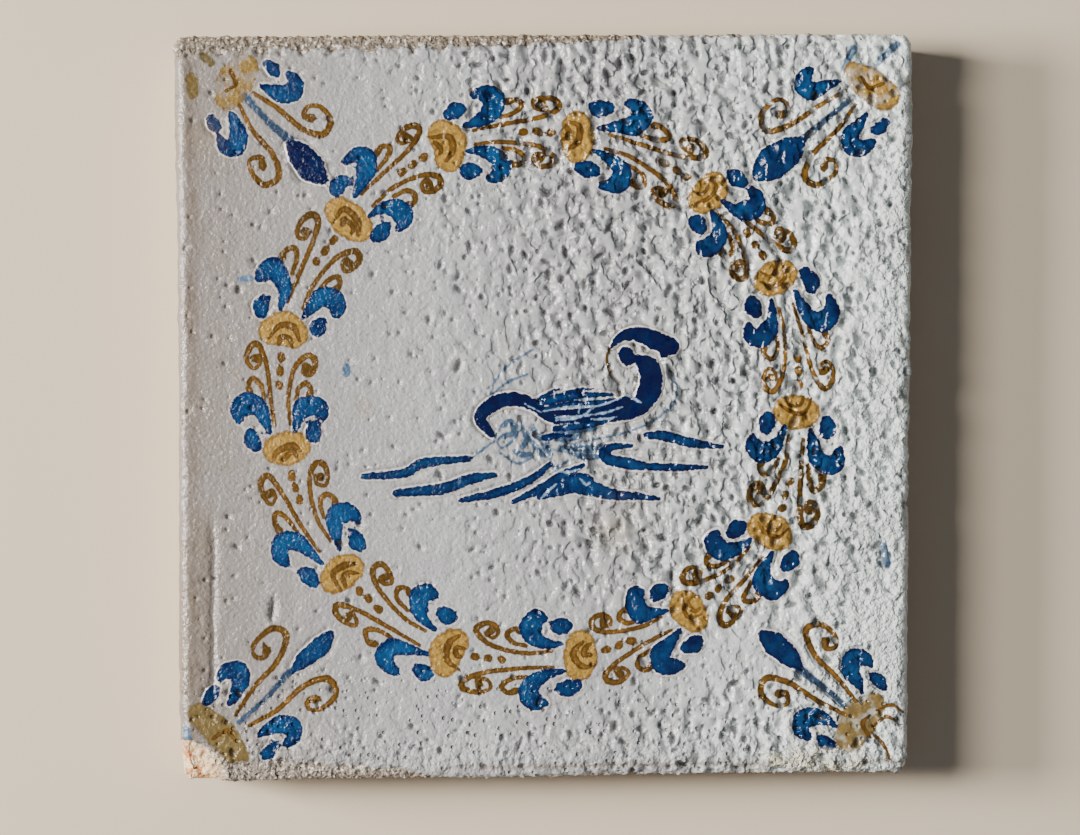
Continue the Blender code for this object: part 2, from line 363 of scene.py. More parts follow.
BIRD_LIGHT = {
    "upper feathers": ([(-0.5, 0.8), (2.7, 1.9), (6.9, 2.5), (13.3, 2.6)], [1.2, 2.0, 1.6, 0.7]),
    "middle feathers": ([(0.7, 0.0), (4.8, 0.8), (10.3, 1.1), (13.7, 1.8)], [0.8, 1.3, 1.1, 0.5]),
    "lower feathers": ([(2.2, -3.9), (5.5, -3.5), (9.6, -3.0), (14.4, -1.8)], [1.0, 1.7, 1.3, 0.6]),
    "tail foot": ([(0.4, -5.7), (2.7, -5.3), (5.5, -5.2)], [1.4, 1.1, 0.5]),
    "first barb": ([(-0.6, 1.9), (1.4, 2.9), (3.2, 3.8)], [0.9, 1.0, 0.4]),
    "second barb": ([(4.0, 3.0), (7.2, 3.6), (9.8, 3.7)], [0.7, 0.8, 0.4]),
}
SCRATCHES = [
    [(0.4, -0.5), (5.5, 0.3), (10.3, 0.4), (14.8, 1.9)],
    [(2.2, -1.8), (6.9, -1.5), (11.6, -0.9), (15.2, 0.2)],
    [(6.9, 1.7), (11.0, 1.9)], [(-3.4, 0.8), (-0.3, -0.8)], [(3.4, -3.1), (6.9, -2.8)],
    [(8.0, 2.0), (7.2, 0.6), (6.8, -0.8)], [(9.2, -2.1), (11.6, -2.1), (14.1, -1.7)],
    [(15.6, 2.7), (17.2, 1.9), (18.8, 1.0)], [(2.5, -2.3), (6.8, -1.7), (9.9, 0.3)],
    [(-0.4, -17.2), (1.0, -15.6), (2.6, -14.4)], [(1.6, -11.6), (4.4, -12.2), (6.9, -11.6)],
    [(7.0, -13.4), (8.2, -14.6), (8.9, -14.2)],
]
BROWN_LOOP = [(12.9, 12.0), (12.3, 9.6), (12.9, 6.6), (14.7, 4.4)]
WATER = [
    ([(-34.2, -12.9), (-26.4, -12.3), (-22.6, -10.4), (-13.8, -9.6)], [1.2, 1.9, 2.0, 1.2]),
    ([(-27.9, -16.1), (-19.2, -15.3), (-14.2, -13.6), (-9.0, -12.6)], [1.5, 2.3, 2.2, 1.0]),
    ([(-15.7, -17.5), (-8.9, -16.1), (-2.7, -13.7), (1.5, -10.6)], [1.0, 1.9, 1.7, 1.0]),
    ([(-5.8, -17.8), (-0.5, -15.4), (3.6, -12.8), (7.7, -10.9)], [0.9, 2.0, 1.8, 0.9]),
    ([(-0.7, -16.9), (3.4, -15.2), (6.9, -14.1), (8.2, -14.3)], [1.2, 3.0, 3.6, 3.4]),
    ([(6.9, -14.6), (9.7, -15.4), (13.7, -16.5), (17.8, -16.7), (22.3, -17.2)], [3.6, 3.0, 2.0, 1.6, 0.7]),
    ([(17.1, -7.2), (13.0, -7.5), (11.4, -8.7), (13.0, -10.0), (16.4, -10.6), (19.3, -11.1)],
     [0.7, 1.6, 2.0, 2.2, 2.4, 1.6]),
    ([(20.1, -11.2), (25.3, -11.3), (31.5, -11.3)], [1.5, 1.6, 0.7]),
    ([(19.6, -5.3), (23.3, -5.4), (28.7, -6.7), (34.4, -7.4)], [1.2, 2.1, 1.9, 0.8]),
]
PALE_LINES = {
    "wing": [(-10.1, 1.9), (-9.0, 5.1), (-6.1, 8.4), (-1.5, 11.4)],
    "wing feather": [(-9.4, 2.6), (-6.8, 4.8), (-2.9, 6.5)],
    "breast": [(23.5, 8.6), (25.3, 5.4), (25.5, 1.9), (23.3, -0.9), (19.2, -3.5), (13.7, -5.2), (5.5, -6.8)],
    "belly": [(-8.1, -5.6), (-10.5, -7.2), (-13.4, -9.4)],
    "belly loop": [(-8.9, -5.2), (-7.2, -2.7), (-4.9, -3.3), (-5.5, -6.0), (-7.9, -7.5), (-9.0, -5.6)],
    "first leg": [(-4.2, -2.4), (-3.0, -5.2), (-1.1, -7.5), (1.4, -8.9)],
    "second leg": [(-1.8, -3.1), (-0.4, -6.3), (0.7, -9.4)],
    "web": [(-8.2, -8.5), (-4.8, -10.5), (-2.0, -9.4)],
    "underside": [(1.1, -5.6), (6.2, -7.0), (11.9, -7.1)],
    "second underside": [(2.2, -8.0), (6.9, -8.7), (11.4, -7.9)],
    "ripple": [(1.4, -9.4), (2.2, -11.3), (4.8, -10.0)],
    "first scribble": [(-3.7, -4.2), (-1.6, -5.2), (0.1, -4.8)],
    "second scribble": [(4.8, -7.8), (8.2, -7.6), (10.3, -8.6)],
}
BELLY_SHADE = [
    [(-7.6, -3.5), (-6.0, -2.6), (-5.6, -4.7), (-7.5, -5.4)], [(-3.9, -3.8), (-3.0, -5.7), (-3.9, -7.5)],
    [(-2.1, -4.1), (-0.5, -5.7), (0.6, -5.3)], [(-5.4, -8.1), (-3.8, -8.9), (-2.4, -8.7)],
    [(2.5, -5.9), (4.6, -5.9), (6.8, -5.4)], [(3.1, -7.5), (7.0, -7.8), (11.1, -7.5)],
    [(5.6, -8.7), (8.0, -9.3), (10.5, -9.3)], [(0.7, -5.9), (0.9, -7.4), (1.3, -8.7)],
    [(-1.9, -6.6), (-0.9, -8.1), (0.2, -9.0)], [(2.4, -4.6), (6.0, -4.3), (10.0, -3.9)],
]
PICTURE = [
    ("cobalt", BIRD_DARK.values(), 1.0),
    ("cobalt", BIRD_LIGHT.values(), 0.5),
    ("scratch", [(path, [0.3, 0.5, 0.3]) for path in SCRATCHES], 0.0),
    ("ochre", [(BROWN_LOOP, [0.4, 0.7, 0.6, 0.3])], 1.0),
    ("cobalt", WATER, 0.6),
    ("pale", [(path, [0.35, 0.6, 0.4]) for path in PALE_LINES.values()], 0.45),
    ("pale", [(path, [0.9, 1.4, 1.1]) for path in BELLY_SHADE], [0.5, 0.9, 0.6]),
]
for paint, drawing, load in PICTURE:
    for path, widths in drawing:
        brush(paint, path, widths, load)
print("strokes in the whole painting:", len(strokes))

# %% [markdown]
# ## The tile's surface, unrolled
#
# The face, the glaze that rolls over its edge and the four sides are one sheet. Laid out flat, as if the
# sides were folded down, that sheet is a square with round corners, and every point of it has a place (s,
# t) in millimetres. Paint, pits and breaks are laid out there. The sheet is then wrapped round the tile:
# flat on the face, a quarter circle over the edge, down the leaning side and under to the back.
#
# The tile was cut by hand, so its corners lie off the square, and its edges waver.

# %% Sizes of the tile, as the solid has them
SIDE = 140.0
THICKNESS = 16.0
CORNER_ROUND = 2.4
ROLL = 1.8
BACK_INSET = 1.3
BACK_ARRIS = 0.7
CORNER_SHIFT = {(-1, 1): (-0.3, 0.0), (1, 1): (0.2, 0.9), (1, -1): (-0.9, 0.6), (-1, -1): (1.0, -1.4)}
WAVER, WAVER_LENGTH = 0.22, 24.0
SWELL, SWELL_LENGTH = 0.25, 46.0

CORE = SIDE / 2 - CORNER_ROUND
ROLL_START = CORNER_ROUND - ROLL
SIDE_START = ROLL_START + ROLL * math.pi / 2
ARRIS_START = SIDE_START + THICKNESS - ROLL - BACK_ARRIS
SHEET_END = ARRIS_START + BACK_ARRIS * math.sqrt(2)
print("the sheet reaches", round(CORE + SHEET_END, 1), "mm from the middle")


# %% Noise, corner shifts and the way from the sheet to the tile
def rough(points, length, seed=0.0):
    """Smooth noise from -1 to 1 at each point, with swells of about the given length in millimetres."""
    places = np.column_stack([points / length, np.full(len(points), seed)])
    return np.array([noise.noise(place) for place in places.tolist()])


def shift_at(points):
    """How far the cutting moved each point of the true square."""
    share = points / SIDE + 0.5
    moved = np.zeros_like(points)
    for (side_x, side_y), shift in CORNER_SHIFT.items():
        across = share[:, 0] if side_x > 0 else 1 - share[:, 0]
        up = share[:, 1] if side_y > 0 else 1 - share[:, 1]
        moved += (across * up)[:, None] * np.array(shift)
    return moved


def wrap(points):
    """Where the points of the sheet lie on the tile without its relief, and the surface's normals there."""
    core = np.clip(points, -CORE, CORE)
    away = points - core
    past = np.linalg.norm(away, axis=1)
    away = away / np.maximum(past, 1e-9)[:, None]
    roll = np.clip((past - ROLL_START) / ROLL, 0, math.pi / 2)
    down = np.clip(past - SIDE_START, 0, ARRIS_START - SIDE_START)
    under = np.clip((past - ARRIS_START) / math.sqrt(2), 0, BACK_ARRIS)
    lean = BACK_INSET / (ARRIS_START - SIDE_START)
    out = np.minimum(past, ROLL_START) + ROLL * np.sin(roll) - lean * down - under
    flat = core + away * out[:, None]
    height = THICKNESS - ROLL * (1 - np.cos(roll)) - down - under
    normal = np.column_stack([away * np.sin(roll)[:, None], np.cos(roll)])
    held = np.clip(flat, -SIDE / 2, SIDE / 2)
    flat = flat + shift_at(held)
    flat[:, 0] += WAVER * rough(held + [3.1 * WAVER_LENGTH, 0.0], WAVER_LENGTH)
    flat[:, 1] += WAVER * rough(held + [0.0, 7.7 * WAVER_LENGTH], WAVER_LENGTH)
    return np.column_stack([flat, height]), normal


OUTERMOST = SIDE / 2 - 0.7
edge = np.linspace(-SIDE / 2, SIDE / 2, 200)
ends = [np.full(200, end) for end in (SIDE / 2, -SIDE / 2)]
rim = np.vstack([np.column_stack(pair) for end in ends for pair in ((edge, end), (end, edge))])
outline = wrap(np.clip(rim, -OUTERMOST, OUTERMOST))[0]
tile_middle = (outline.min(axis=0) + outline.max(axis=0))[:2] / 2 - (low + high)[:2] / 2


def on_sheet(points):
    """The places on the sheet of points given in millimetres on the finished tile."""
    points = np.asarray(points, float) + tile_middle
    return points - shift_at(points)


for stroke in strokes:
    stroke["path"] = on_sheet(stroke["path"])
print("the cut moved the middle by", tile_middle.round(2), "mm")

# %% [markdown]
# ## Pits in the glaze
#
# As the glaze melted, gas broke through it. Where it healed the surface is smooth, as on the left. Where it
# didn't, it is full of craters: round pinholes of half a millimetre, and longer hollows where the glaze
# also crawled. They grow in number and size to the right and towards the bottom edge. Each pit is an
# ellipse with a depth. They are scattered by trying random places and keeping each with the chance that the
# glaze has there. A few large ones are put where they are: x, y, radius, length as a multiple of it, angle
# and depth.


# %% How pitted the glaze is, from 0 to 1
def ease(low_end, high_end, value):
    """0 at the low end and 1 at the high end, which may be the smaller number, with a smooth step between."""
    share = np.clip((value - low_end) / (high_end - low_end), 0, 1)
    return share * share * (3 - 2 * share)


def pitting(points):
    """Little at the left and much at the right, but less low down and at the far right; some at the foot."""
    x, y = points[:, 0], points[:, 1]
    right = ease(-38, 34, x + 0.18 * y) * (1 - 0.62 * ease(-26, -48, y)) * (1 - 0.35 * ease(56, 66, x))
    foot = 0.75 * ease(46, 66, -y)
    return np.clip(0.05 + 0.85 * right + 0.6 * foot * (0.5 + 0.5 * right), 0, 1)


# %% Scatter the pits
PIT_TRIES = 9000
PIT_CHANCE = {"anywhere": 0.05, "where pitted": 0.62, "at the foot": 0.14}
LONG_PIT_SHARE = 0.75
LONG_PIT = {"radius": (0.42, 0.78), "length": (1.1, 2.2), "room": 1.9}
ROUND_PIT = {"radius": (0.26, 0.5), "length": (1.0, 1.5), "room": 1.1}
PIT_LEAN, PIT_LEAN_SPREAD = 0.25, 0.7
HEAVY_LOAD = 0.4


def beyond_strokes(spots, chosen):
    """How far each spot lies outside the nearest of the chosen strokes."""
    gaps = np.full(len(spots), 99.0)
    for stroke in chosen:
        apart = np.linalg.norm(spots[:, None] - stroke["path"][None], axis=2) - stroke["radius"][None]
        gaps = np.minimum(gaps, apart.min(axis=1))
    return gaps


def is_heavy(stroke):
    """Whether a stroke is cobalt so thick that it pulled a trench open."""
    return stroke["paint"] == "cobalt" and stroke["load"].min() > HEAVY_LOAD


chance = np.random.default_rng(7)
spots = chance.uniform(-SIDE / 2, SIDE / 2, (PIT_TRIES, 2))
likely = PIT_CHANCE["where pitted"] * pitting(spots) + PIT_CHANCE["anywhere"]
likely += PIT_CHANCE["at the foot"] * ease(50, 64, -spots[:, 1])
kept = chance.uniform(size=PIT_TRIES) < likely
kept &= beyond_strokes(spots, [stroke for stroke in strokes if is_heavy(stroke)]) > 0.5
spots = spots[kept]
here = pitting(spots)
long_pit = chance.uniform(size=len(spots)) < LONG_PIT_SHARE * here
room = np.where(long_pit, LONG_PIT["room"], ROUND_PIT["room"])
alone = []
for index, spot in enumerate(spots):
    if not alone or np.all(np.linalg.norm(spots[alone] - spot, axis=1) > (room[alone] + room[index]) / 2):
        alone.append(index)
spots, here, long_pit = spots[alone], here[alone], long_pit[alone]
pit_radius, pit_length = (
    np.where(long_pit, *(chance.uniform(*kind[size], len(spots)) for kind in (LONG_PIT, ROUND_PIT)))
    for size in ("radius", "length")
)
pit_angle = math.pi / 2 + chance.normal(PIT_LEAN, PIT_LEAN_SPREAD, len(spots))
pit_depth = pit_radius * np.where(long_pit, 1.1 + 0.3 * here, 1.0)
pits = np.column_stack([spots, pit_radius, pit_length, pit_angle, pit_depth])

SPECIAL_PITS = [
    (-15.3, 12.1, 0.7, 2.6, math.radians(-35), 0.35), (0.5, 13.1, 0.8, 1.4, math.radians(80), 0.3),
    (-6.2, 8.3, 0.6, 1.3, 1.9, 0.35), (-21.1, -33.6, 0.5, 1.2, 1.2, 0.3), (-51.6, -38.2, 0.65, 4.6, 1.5, 0.8),
    (-4.3, -64.1, 0.5, 4.0, 1.2, 0.7),
]
special = np.array(SPECIAL_PITS)
special[:, :2] = on_sheet(special[:, :2])
pits = np.vstack([special, pits])
print("pits:", len(pits), "of which long:", int(long_pit.sum()))

# %% [markdown]
# ## Bare clay
#
# Along the top edge the glaze has spalled off in a ragged strip, and along the bottom at the left in a
# wider one. The bottom left corner is broken. How far a point lies inside the glaze, in millimetres, is
# worked out from these three shapes, with noise for a ragged edge.

# %% Distance into the glaze
TOP_STRIP = {"width": 2.6, "length": 88.0}
BOTTOM_STRIP = {"width": 4.8, "length": 48.0}
CHIP_REACH = 9.0
GLAZE_DROP = 5.0


def past_the_core(points):
    """How far each point of the sheet lies outside the square between the round corners' centres."""
    return np.linalg.norm(points - np.clip(points, -CORE, CORE), axis=1)


def strip_reach(from_left, strip):
    """How wide a spalled strip still is at a distance from the tile's left side."""
    return strip["width"] * np.sqrt(np.clip(1 - from_left / strip["length"], 0, 1))


def glaze_depth(points):
    """Millimetres from each point to the nearest bare clay: above 0 in the glaze, below 0 on clay."""
    x, y = points[:, 0], points[:, 1]
    ragged = 0.7 * rough(points, 2.6, 3.0) + 0.35 * rough(points, 0.9, 8.0)
    from_left = x + SIDE / 2
    top = SIDE / 2 - y - strip_reach(from_left, TOP_STRIP) * (1 + ragged)
    top = np.where(from_left > TOP_STRIP["length"], SIDE / 2 - y + 1.0 + ragged, top)
    bottom = SIDE / 2 + y - strip_reach(from_left, BOTTOM_STRIP) * (1 + 0.6 * ragged)
    bottom = np.where(from_left > BOTTOM_STRIP["length"], SIDE / 2 + y + 0.45 + ragged, bottom)
    corner = np.array([-SIDE / 2, -SIDE / 2])
    chip = np.linalg.norm((points - corner) * [1.0, 1.15], axis=1) - CHIP_REACH + 0.5 * ragged
    # On the sides the glaze ends in a ragged, drooping line.
    skirt = SIDE_START + GLAZE_DROP * (0.5 + 0.5 * rough(points, 14.0, 5.0)) + ragged - past_the_core(points)
    return np.minimum.reduce([top, bottom, chip, skirt])


# %% [markdown]
# ## Placing the points of the mesh
#
# The mesh needs fine triangles only where something happens. Each pit gets rings of points, each stroke
# gets rows of points along its edges, bare clay and the rolled edge get a fine grid, and the smooth glaze a
# coarse one. Points that fall too close to one already placed are dropped. The important ones are placed
# first.

# %% Candidate points, most important first
def ring(centre, radius, length, angle, count, scale):
    """Points round an ellipse, at a scale of its size."""
    turns = np.arange(count) * 2 * math.pi / count + scale
    local = np.column_stack([np.cos(turns) * radius * length, np.sin(turns) * radius]) * scale
    turned = np.array([[math.cos(angle), math.sin(angle)], [-math.sin(angle), math.cos(angle)]])
    return centre + local @ turned


WIDE_PIT = 0.45


def pit_points():
    """The middle of each pit, with rings on its slope and at its lip: three round a wide pit, else two."""
    placed = []
    for x, y, radius, length, angle, depth in pits:
        centre = np.array([x, y])
        placed.append(centre[None])
        rings = ((0.4, 5), (0.8, 7), (1.1, 8)) if radius > WIDE_PIT else ((0.6, 4), (1.1, 7))
        for scale, count in rings:
            more = max(math.sqrt(length), length / 2)
            placed.append(ring(centre, radius, length, angle, round(count * more), scale))
    return np.vstack(placed)


GROOVE_S, GROOVE_WANDER = -63.4, 0.5
GROOVE_ROWS = (-0.5, 0.0, 0.4, 0.8)


def groove_place(points):
    """Where the groove along the left side runs, in s, at the height t of each point."""
    return GROOVE_S + GROOVE_WANDER * rough(points * [0.0, 1.0], 6.0, 41.0)


def groove_points():
    """Rows of points along the groove, at these distances beside its middle."""
    t = np.arange(-58.0, -14.0, 0.5)
    middle = np.column_stack([0 * t, t])
    middle[:, 0] = groove_place(middle)
    return np.vstack([middle + [row, 0.0] for row in GROOVE_ROWS])


HEAVY_ROWS = (-0.12, 0.1, 0.32, 0.6)
EDGE_ROWS = {"cobalt": (-0.12, 0.12), "ochre": (-0.1, 0.14), "wash": (0.0, 0.35), "pale": (-0.05, 0.3),
             "scratch": (0.1,)}
ROW_STEP = 0.44
DOT_DABS = 6


def stroke_points():
    """Rows along each stroke, at these distances outside its edge and along its middle; rings round a dot."""
    placed = []
    for stroke in strokes:
        path, radius = stroke["path"], stroke["radius"]
        if len(path) < DOT_DABS:
            for scale, count in ((0.7, 6), (1.0, 9), (1.4, 9)):
                placed.append(ring(path.mean(axis=0), radius.mean(), 1.2, 0.0, count, scale))
            continue
        every = max(1, round(ROW_STEP / DAB_STEP))
        heading = np.gradient(path, axis=0)
        heading /= np.maximum(np.linalg.norm(heading, axis=1), 1e-9)[:, None]
        normal = np.column_stack([-heading[:, 1], heading[:, 0]])
        for side in (1, -1):
            for row in HEAVY_ROWS if is_heavy(stroke) else EDGE_ROWS[stroke["paint"]]:
                placed.append((path + normal * (side * (radius + row))[:, None])[::every])
        placed.append(path[::every])
    return np.vstack(placed)


def grid(step, keep, seed):
    """A jittered grid over the sheet, of the points that keep() allows."""
    reach = CORE + SHEET_END
    marks = np.arange(-reach, reach, step)
    points = np.stack(np.meshgrid(marks, marks), axis=-1).reshape(-1, 2)
    points = points + np.random.default_rng(seed).uniform(-0.28, 0.28, points.shape) * step
    past = past_the_core(points)
    return points[keep(points, past) & (past < SHEET_END - 0.4 * step)]


# %% Thin them out to one point per cell
class Sieve:
    """Keeps points that have no earlier point within the gap."""

    def __init__(self, cell):
        self.cell = cell
        self.size = int(2 * (CORE + SHEET_END + 2) / cell)
        self.taken = np.zeros((self.size, self.size), bool)
        self.kept = []

    def cells(self, points):
        return ((points + CORE + SHEET_END + 2) / self.cell).astype(int).T

    def pour(self, points, gap):
        """Keeps those points that are free, and says how many."""
        column, row = self.cells(points)
        near = self.taken.copy()
        for _ in range(round(gap / self.cell) - 1):
            near[1:] |= near[:-1].copy()
            near[:-1] |= near[1:].copy()
            near[:, 1:] |= near[:, :-1].copy()
            near[:, :-1] |= near[:, 1:].copy()
        free = ~near[column, row]
        points, column, row = points[free], column[free], row[free]
        first = np.unique(column * self.size + row, return_index=True)[1]
        self.taken[column[first], row[first]] = True
        self.kept.append(points[np.sort(first)])
        return len(first)


# %% Pour the points through the sieve
GAP = 0.17
sieve = Sieve(GAP)


def sheet_rim(past):
    """Points all round the sheet at a distance past the core square."""
    sides = []
    steps = np.arange(-CORE, CORE, 1.5)
    arc = np.radians(np.linspace(0, 90, 7))
    for quarter in range(4):
        turn = quarter * math.pi / 2
        local = np.vstack([
            np.column_stack([steps, np.full(len(steps), -CORE - past)]),
            np.column_stack([CORE + past * np.sin(arc), -CORE - past * np.cos(arc)])[:-1],
        ])
        spin = np.array([[math.cos(turn), math.sin(turn)], [-math.sin(turn), math.cos(turn)]])
        sides.append(local @ spin)
    return np.vstack(sides)


counts = {"rim": sieve.pour(sheet_rim(SHEET_END), GAP) + sieve.pour(sheet_rim(ARRIS_START), GAP)}
for name, candidates in (("pits", pit_points()), ("strokes", stroke_points()), ("groove", groove_points())):
    counts[name] = sieve.pour(candidates, GAP)
for name, step, gaps, seed, keep in (
    ("bare clay", 0.34, 1, 1, lambda points, past: (glaze_depth(points) < 0.4) & (past < SIDE_START + 0.6)),
    ("rolled edge", 0.6, 2, 2, lambda points, past: (past > 0) & (past < SIDE_START + 0.5)),
    ("pitted glaze", 0.62, 2, 5, lambda points, past: (past < 0.3) & (pitting(points) > 0.3)),
    ("glaze", 0.95, 3, 3, lambda points, past: past < SIDE_START),
    ("sides", 1.5, 4, 4, lambda points, past: past >= SIDE_START),
):
    counts[name] = sieve.pour(grid(step, keep, seed), gaps * GAP)
points = np.vstack(sieve.kept)
print("points placed:", counts, "in all", len(points))

# %% [markdown]
# ## What each point is
#
# For every paint, a point learns how far it lies from the nearest stroke's edge, below zero inside, and how
# heavy that stroke was. These numbers are stored on the mesh's points, and the material draws the paint
# from them.

# %% Distances to the paint
FAR = 3.0
tree = kdtree.KDTree(len(points))
for index, (s, t) in enumerate(points):
    tree.insert((s, t, 0.0), index)
tree.balance()

paints = {name: np.full(len(points), FAR) for name in ("cobalt", "ochre", "wash", "pale", "scratch")}
loads = {name: np.zeros(len(points)) for name in paints}
for stroke in strokes:
    path, radius = stroke["path"], stroke["radius"]
    middle = (path.min(axis=0) + path.max(axis=0)) / 2
    span = np.linalg.norm(path - middle, axis=1).max() + radius.max() + FAR
    near = np.array([found[1] for found in tree.find_range((*middle, 0.0), span)])
    gaps = np.linalg.norm(points[near, None] - path[None], axis=2) - radius[None]
    dab = gaps.argmin(axis=1)
    gap = gaps[np.arange(len(near)), dab]
    best = gap < paints[stroke["paint"]][near]
    paints[stroke["paint"]][near[best]] = gap[best]
    loads[stroke["paint"]][near[best]] = stroke["load"][dab[best]]
print("painted blue:", int((paints["cobalt"] < 0).sum()), "points")

# %% [markdown]
# ## The relief
#
# The height of the glaze at a point adds up many shapes, each in millimetres and below zero where it goes
# down. First the pits. A pit is a bowl with a slight lip. Where pits overlap, the deepest counts.

# %% Pits as bowls with a lip
LIP_HEIGHT, LIP_PLACE, LIP_WIDTH = 0.22, 1.15, 0.22


def bell(distance, width):
    """1 at no distance, falling smoothly to nothing past about two widths."""
    return np.exp(-(distance / width) ** 2)


pit_height = np.zeros(len(points))
for x, y, radius, length, angle, depth in pits:
    found = tree.find_range((x, y, 0.0), radius * length * 1.6)
    near = np.array([index for _, index, _ in found], int)
    offset = points[near] - [x, y]
    along = (offset[:, 0] * math.cos(angle) + offset[:, 1] * math.sin(angle)) / length
    across = -offset[:, 0] * math.sin(angle) + offset[:, 1] * math.cos(angle)
    share = np.hypot(along, across) / radius
    bowl = -depth * np.clip(1 - share**1.4, 0, 1)
    lip = LIP_HEIGHT * depth * bell(share - LIP_PLACE, LIP_WIDTH)
    so_far = pit_height[near]
    beside = np.where(so_far < 0, so_far, np.maximum(so_far, lip))
    pit_height[near] = np.where(bowl < 0, np.minimum(so_far, bowl), beside)
print("deepest pit:", round(-pit_height.min(), 2), "mm")

# %% [markdown]
# At the right the melt crawled, and left a net of valleys with lumps between them. The valleys run where
# two of many scattered blobs are equally near. They and the dimples lean a little and are longer up the
# tile than across it. Heavy blue and the flowers' wash held the melt, so it is calmer there.

# %% The net of valleys and dimples
BLOBS, BLOB_REACH, SQUASH = 2600, 76, 0.6
VALLEY_WIDTH = 0.9
HOLLOW_DEPTH = 1.5


def leaning(lean):
    """Places for a pattern that leans and is longer up the tile than across it."""
    return np.column_stack([points[:, 0] + lean * points[:, 1], SQUASH * points[:, 1]])


rightness = pitting(points)
net = kdtree.KDTree(BLOBS)
for index, blob in enumerate(np.random.default_rng(11).uniform(-BLOB_REACH, BLOB_REACH, (BLOBS, 2))):
    net.insert((blob[0], SQUASH * blob[1], 0.0), index)
net.balance()
twisted = leaning(0.25) + 0.5 * np.column_stack([rough(points, 2.5, 21.0), rough(points, 2.5, 22.0)])
nearest = np.array([[found[2] for found in net.find_n((*place, 0.0), 2)] for place in twisted.tolist()])
valley = 1 - ease(0.0, VALLEY_WIDTH, nearest[:, 1] - nearest[:, 0])
calm = 1 - 0.9 * np.clip(loads["cobalt"], 0, 1) * (1 - ease(0.3, 0.9, paints["cobalt"]))
calm *= 1 - 0.6 * (1 - ease(-0.4, 0.5, paints["wash"]))
dimples = 0.5 * ease(0.02, 0.42, rough(leaning(0.3), 1.8, 12.0))
dimples += 0.45 * valley * ease(-0.1, 0.3, rough(leaning(0.3), 3.2, 16.0))
hollows = -HOLLOW_DEPTH * calm * ease(0.2, 0.75, rightness) * dimples
print("deepest hollow:", round(-hollows.min(), 2), "mm")

# %% [markdown]
# Then the trench that heavy blue pulled open beside itself, with a raised shoulder outside it, an orange
# peel, a bead of glaze along the edges and lumps on it, and the groove down the left side.

# %% The other shapes of the glaze
TRENCH, SHOULDER, LINE_GROOVE = 0.45, 0.3, 0.03
EDGE_LUMPS, BEAD = 0.16, 0.3
GROOVE, GROOVE_STEP, GROOVE_WIDTH = 0.45, 0.1, 0.45
s, t = points.T
bare = glaze_depth(points)
past_core = past_the_core(points)
from_edge = SIDE / 2 - np.abs(np.clip(points, -SIDE / 2, SIDE / 2)).max(axis=1)
beside_groove = s - groove_place(points)
along_groove = ease(-16, -26, t) * ease(-58, -50, t)
glaze_shapes = {
    "pits": pit_height,
    "hollows": hollows,
    "trench": -TRENCH * loads["cobalt"] * bell(paints["cobalt"] - 0.32, 0.16),
    "shoulder": SHOULDER * TRENCH * loads["cobalt"] * bell(paints["cobalt"] - 0.7, 0.25),
    "ochre lines": -LINE_GROOVE * bell(paints["ochre"], 0.2),
    "peel": (0.1 + 0.1 * rightness) * rough(points, 2.6, 2.0),
    "fine peel": (0.04 + 0.1 * rightness) * rough(points, 1.1, 4.0),
    "edge lumps": EDGE_LUMPS * ease(3.5, 0.5, from_edge)
                  * (rough(points, 3.2, 31.0) + 0.6 * rough(points, 1.4, 32.0)),
    "bead": BEAD * (0.5 + 0.5 * ease(-66, -68, s)) * bell(from_edge - 1.9, 1.3)
            * (0.7 + 0.6 * rough(points, 16.0, 3.5)),
    "groove": along_groove * (GROOVE_STEP * ease(0.5, -0.3, beside_groove)
                              - GROOVE * bell(beside_groove, GROOVE_WIDTH)),
}
print("lowest of each:", {name: round(float(heights.min()), 2) for name, heights in glaze_shapes.items()})

# %% [markdown]
# Bare clay lies a step lower and is gritty, and the broken corner is a bowl. Over the top edge and down the
# right side the glaze is thick. The foot has a crust of crumbs at the right, a blister, and a crack along
# the edge.

# %% The whole relief
STEP_DOWN, CHIP_DEPTH = 0.55, 3.2
CRUMBS, FOOT_CRACK = 0.25, 0.4
BLISTER = {"place": (-8.8, -64.2), "radius": 3.2, "height": 0.26}
on_face = 1 - ease(SIDE_START, SIDE_START + 1.0, past_core)
glazed = ease(-0.05, 0.3, bare)
grit = 0.34 * rough(points, 1.1, 6.0) + 0.26 * rough(points, 0.55, 7.0)
chip_bowl = np.clip(1 - np.linalg.norm(points + SIDE / 2, axis=1) / CHIP_REACH, 0, 1)
clay_height = grit - STEP_DOWN * (1 - ease(0, SIDE_START, past_core)) - CHIP_DEPTH * chip_bowl
relief = on_face * (SWELL * rough(points, SWELL_LENGTH, 5.0) + glazed * sum(glaze_shapes.values())
                    + (1 - glazed) * clay_height)
thick_at_top = (0.65 - 0.25 * ease(-60, 60, s)) * ease(CORE, CORE + 1, t)
thick_glaze = np.maximum(thick_at_top, 0.45 * ease(CORE, CORE + 1, s))
relief += thick_glaze * ease(0.3, SIDE_START, past_core) * ease(SIDE_START + 5.0, SIDE_START + 1.5, past_core)
side_noise = 0.1 * rough(points, 5.0, 9.0) + 0.08 * rough(points, 1.2, 1.0)
relief += (1 - on_face) * side_noise * (past_core < ARRIS_START - 0.5)
crusted = ease(40, 46, s) * ease(64, 59, s) * ease(-65.0, -66.6, t)
crusted *= ease(-0.4, 0.2, rough(points, 3.0, 51.0))
relief += CRUMBS * on_face * crusted * rough(points, 1.3, 52.0)
from_blister = np.linalg.norm(points - on_sheet([BLISTER["place"]]), axis=1)
relief += BLISTER["height"] * np.exp(-((from_blister / BLISTER["radius"]) ** 4))
foot_crack = ease(-26, -10, s) * bell(t + 68.2 - 0.6 * rough(points, 4.0, 61.0), 0.45)
relief -= FOOT_CRACK * foot_crack
places, normals = wrap(points)
